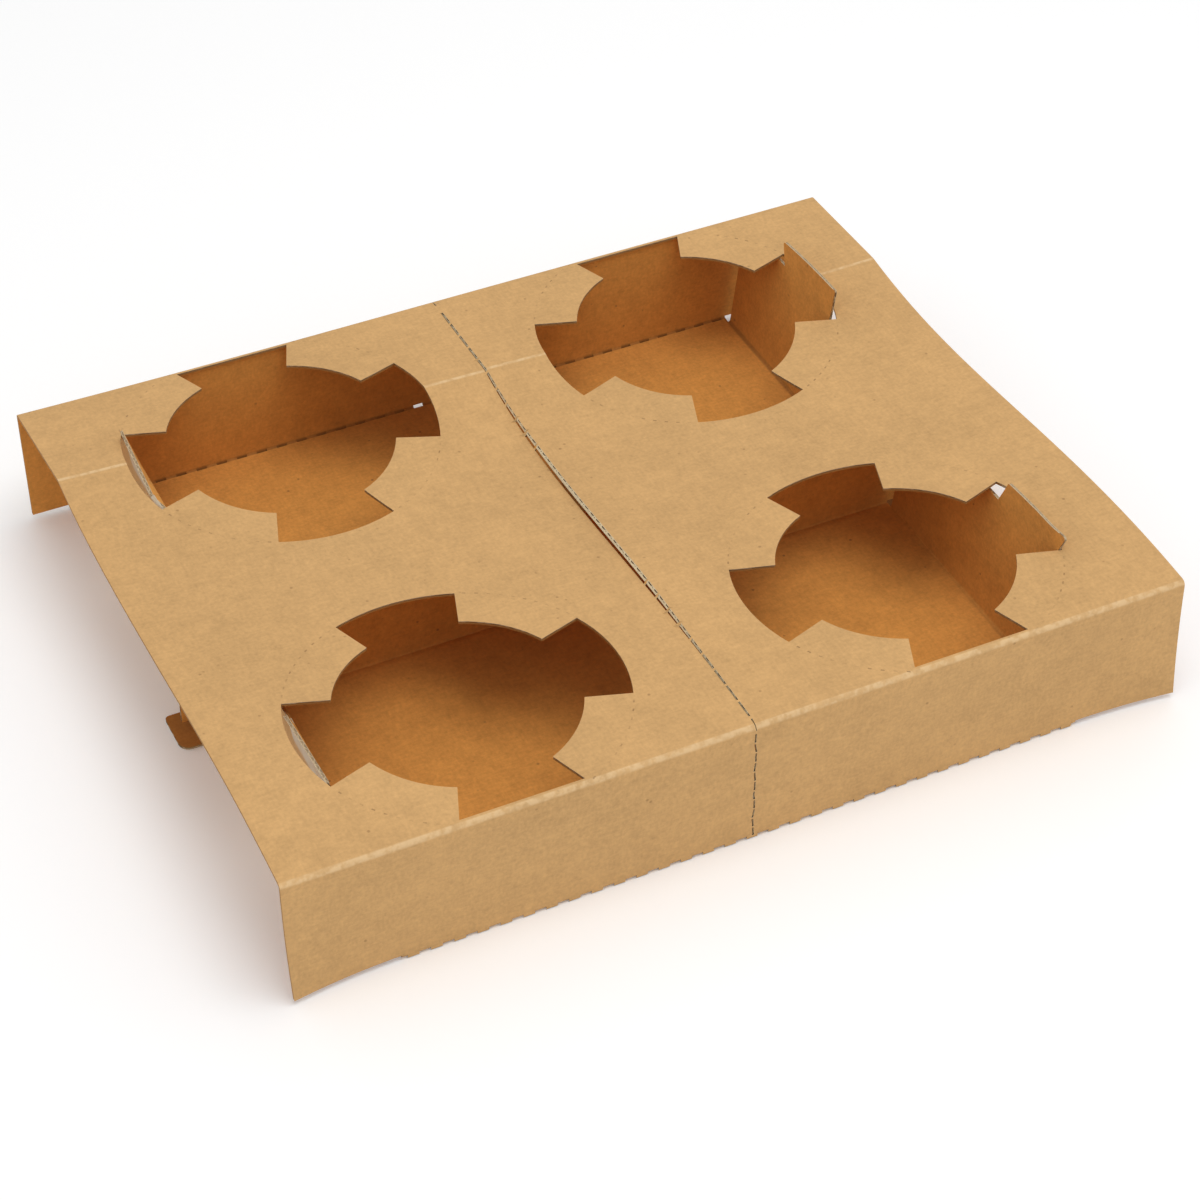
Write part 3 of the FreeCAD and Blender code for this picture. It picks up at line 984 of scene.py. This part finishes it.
def edge_material(name, flutes, paper_colour, hollow_shade_colour, crushed):
    """A cut edge: the fluting shows with painted shade in its hollows, pressed shut on the ears and
    browned round the outline, and with painted shade on the lower half of the panels' edges.
    """
    material, tree, place = new_material(name)
    depth = add(tree, "ShaderNodeAttribute", attribute_name="depth").outputs["Fac"]
    axes = add(tree, "ShaderNodeSeparateXYZ", {0: place}).outputs
    across_x = calc(tree, "ABSOLUTE", axes["X"])
    outline = calc(tree, "GREATER_THAN", across_x, HALF_LENGTH - 1.5 * MM)
    off = calc(tree, "ABSOLUTE", calc(tree, "SUBTRACT", calc(tree, "ABSOLUTE", axes["Y"]), CUP_Y))
    ears = calc(tree, "MULTIPLY", calc(tree, "GREATER_THAN", across_x, HALF_FLOOR + 2.0 * MM),
                calc(tree, "LESS_THAN", off, 15.3 * MM))
    pressed = calc(tree, "MULTIPLY_ADD", calc(tree, "GREATER_THAN", axes["X"], 0.0), 0.35, 0.45)
    pressed = calc(tree, "MULTIPLY", ears, pressed)
    cut_board = use_group(tree, flutes, {"Place": place, "Depth": depth, "Paper": paper_colour,
                                         "Hollow_Shade": hollow_shade_colour, "Crushed": crushed,
                                         "Closed": calc(tree, "MAXIMUM", outline, pressed)})
    colour = mix(tree, calc(tree, "MULTIPLY", outline, 0.8), cut_board.outputs["Color"], OUTLINE)
    if not crushed:
        panel = calc(tree, "SUBTRACT", 1.0, calc(tree, "MAXIMUM", ears, outline))
        shaded = calc(tree, "MULTIPLY", ramp(tree, depth, 0.4, 0.6), panel)
        colour = mix(tree, shaded, colour, EDGE_SHADE)
    finish_material(tree, colour, cut_board.outputs["Height"], FLUTE_BUMP, 0.9)
    return material


paper = kraft_paper_group()
flutes = cut_flutes_group()
liner = liner_material(paper)
inner = inside_material(paper)
edge = edge_material("cut_edge", flutes, EDGE_PAPER, EDGE_HOLLOW_SHADE, 0.0)
torn = edge_material("torn_edge", flutes, TORN_PAPER, TORN_HOLLOW_SHADE, 1.0)

sheet = build_sheet()
thicken(sheet, [liner, inner, edge, torn])
cutters = [hole_cutter(sx * CUP_X, sy * CUP_Y, edge) for sx in (-1, 1) for sy in (-1, 1)]
cut(sheet, cutters)
perforate(sheet, torn)
groove_edges(sheet, 2)
mark_depth(sheet)
push(sheet, "X", crush_perforation)
raise_ears(sheet)
push(sheet, "Z", settle)
push(sheet, "Y", spring_out)

take(sheet)
bpy.ops.object.shade_smooth_by_angle(angle=math.radians(35.0))

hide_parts("carrier")
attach(sheet, "root")


# Floor, light and camera

bpy.ops.mesh.primitive_plane_add(size=6.0, location=(0.0, 0.0, -0.0002))
floor = bpy.context.object
floor.name = "studio_floor"
floor_material = bpy.data.materials.new("studio_floor")
floor_material.use_nodes = True
floor_shader = floor_material.node_tree.nodes["Principled BSDF"]
floor_shader.inputs["Base Color"].default_value = (0.96, 0.96, 0.96, 1.0)
floor_shader.inputs["Emission Color"].default_value = (1.0, 1.0, 1.0, 1.0)
floor_shader.inputs["Emission Strength"].default_value = 0.05
floor.data.materials.append(floor_material)

world = bpy.data.worlds.new("studio")
world.use_nodes = True
world.node_tree.nodes["Background"].inputs["Color"].default_value = (1.0, 1.0, 1.0, 1.0)
world.node_tree.nodes["Background"].inputs["Strength"].default_value = 0.72
bpy.context.scene.world = world
bpy.context.scene.view_settings.view_transform = "Standard"


def soft_light(name, place, size, power):
    """Hangs a square light that faces the middle of the frame."""
    data = bpy.data.lights.new(name, "AREA")
    data.shape = "SQUARE"
    data.size = size
    data.energy = power
    light = bpy.data.objects.new(name, data)
    light.location = place
    light.rotation_euler = Vector(place).to_track_quat("Z", "Y").to_euler()
    bpy.context.scene.collection.objects.link(light)


soft_light("overhead", (0.12, -0.27, 1.25), 0.8, 6.4)

camera_data = bpy.data.cameras.new("camera")
camera_data.lens = 93.815
camera_data.sensor_width = 36.0
camera = bpy.data.objects.new("camera", camera_data)
place = Vector((-282.18, -608.69, 583.43)) * MM
aim = Vector((-4.82, -22.41, 20.0)) * MM
look = (aim - place).normalized()
level = look.cross(Vector((0.0, 0.0, 1.0))).normalized()
roll = Matrix.Rotation(math.radians(0.334), 3, look)
right = roll @ level
up = right.cross(look)
turned = Matrix((right, up, -look)).transposed().to_4x4()
camera.matrix_world = Matrix.Translation(place) @ turned
bpy.context.scene.collection.objects.link(camera)
bpy.context.scene.camera = camera
